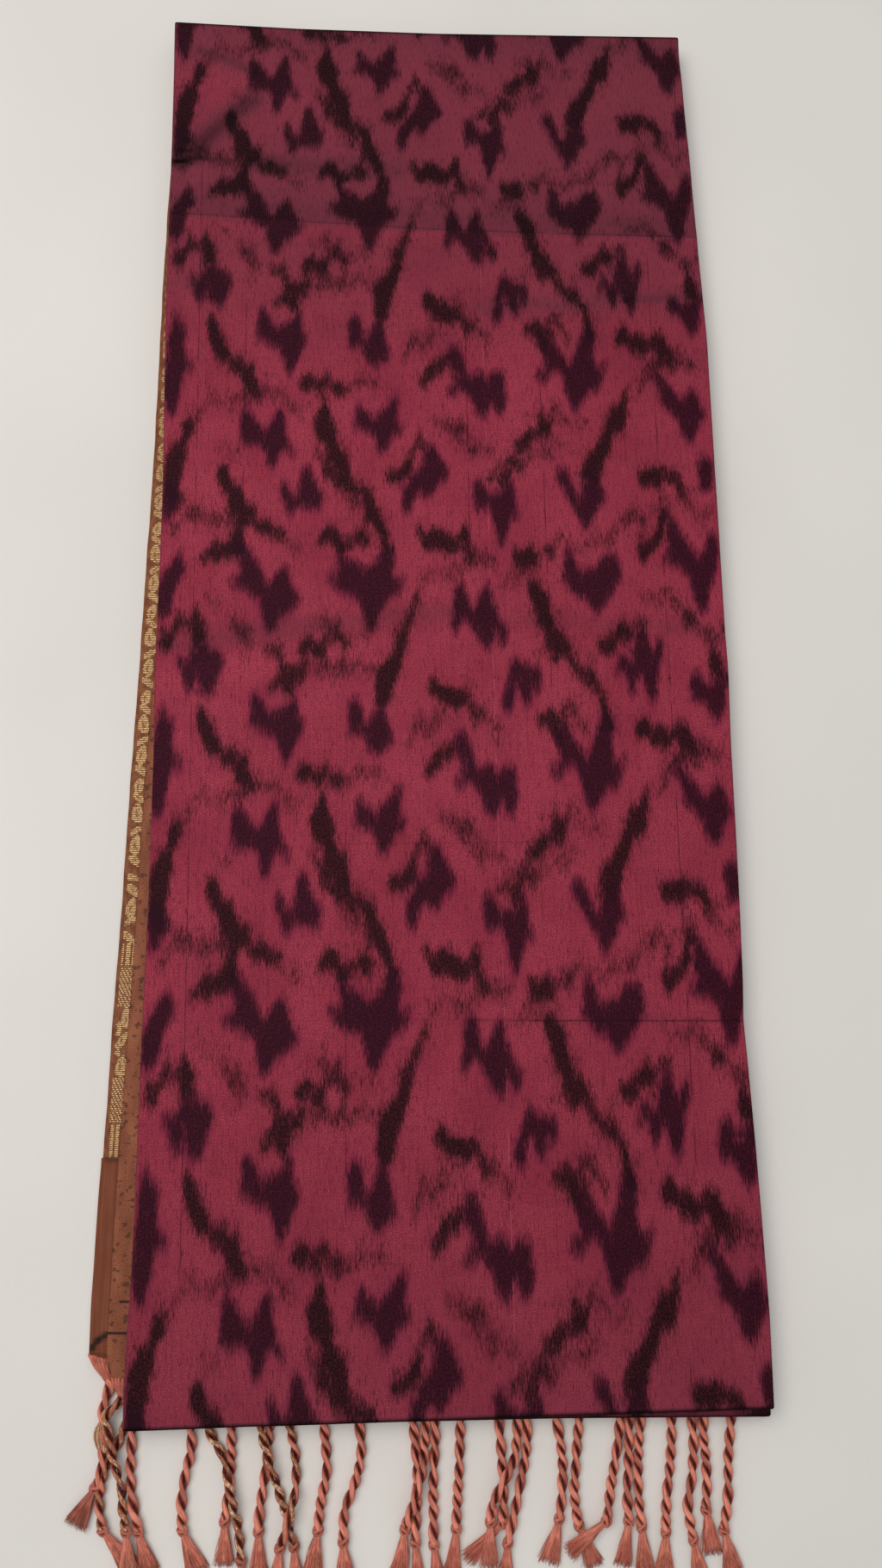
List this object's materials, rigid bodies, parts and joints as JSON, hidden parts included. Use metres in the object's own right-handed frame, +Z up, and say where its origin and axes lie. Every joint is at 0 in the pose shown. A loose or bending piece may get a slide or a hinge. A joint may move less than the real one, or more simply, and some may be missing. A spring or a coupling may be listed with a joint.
{
  "type": "folded saree",
  "caption": "Silk ikat saree folded to a long flat rectangle, its brocaded end showing along one side and its knotted fringe at the near end.",
  "frame": {"origin": "under the middle of the part's box, on the surface that it lies on", "axes": "+Z up; +Y along the folded cloth, away from the tassels; +X across it, away from the side where the pallu shows"},
  "size_m": [0.3214, 0.811, 0.0151],
  "materials": {
    "ikat_silk": "wine-red warp ikat silk, soft sheen along the warp",
    "ikat_silk_inner": "the same silk on the folds below",
    "copper_tissue": "copper tissue weave with dark mottles",
    "zari_brocade": "brown ground with raised gold thread",
    "brown_satin": "plain brown satin weave",
    "fringe_silk": "rust-coloured twisted silk",
    "fringe_gold": "rust-coloured silk twisted with gold thread"
  },
  "bodies": {
    "root": {"body_top_leaf": "ikat_silk", "body_second_leaf": "ikat_silk_inner", "body_folded_core": "ikat_silk_inner", "pallu_tissue_leaf": "copper_tissue", "pallu_border_leaf": "zari_brocade", "pallu_end_band": "brown_satin", "tassel_01": "fringe_silk", "tassel_02": "fringe_gold", "tassel_03": "fringe_gold", "tassel_04": "fringe_silk", "tassel_05": "fringe_silk", "tassel_06": "fringe_gold", "tassel_07": "fringe_silk", "tassel_08": "fringe_silk", "tassel_09": "fringe_gold", "tassel_10": "fringe_gold", "tassel_11": "fringe_silk", "tassel_12": "fringe_silk", "tassel_13": "fringe_silk", "tassel_14": "fringe_silk", "tassel_15": "fringe_silk", "tassel_16": "fringe_silk", "tassel_17": "fringe_silk", "tassel_18": "fringe_silk", "tassel_19": "fringe_silk", "tassel_20": "fringe_silk", "tassel_21": "fringe_silk", "tassel_22": "fringe_silk", "tassel_23": "fringe_silk", "tassel_24": "fringe_silk", "tassel_25": "fringe_silk", "tassel_26": "fringe_silk", "tassel_27": "fringe_silk", "tassel_28": "fringe_silk"}
  },
  "joints": []
}
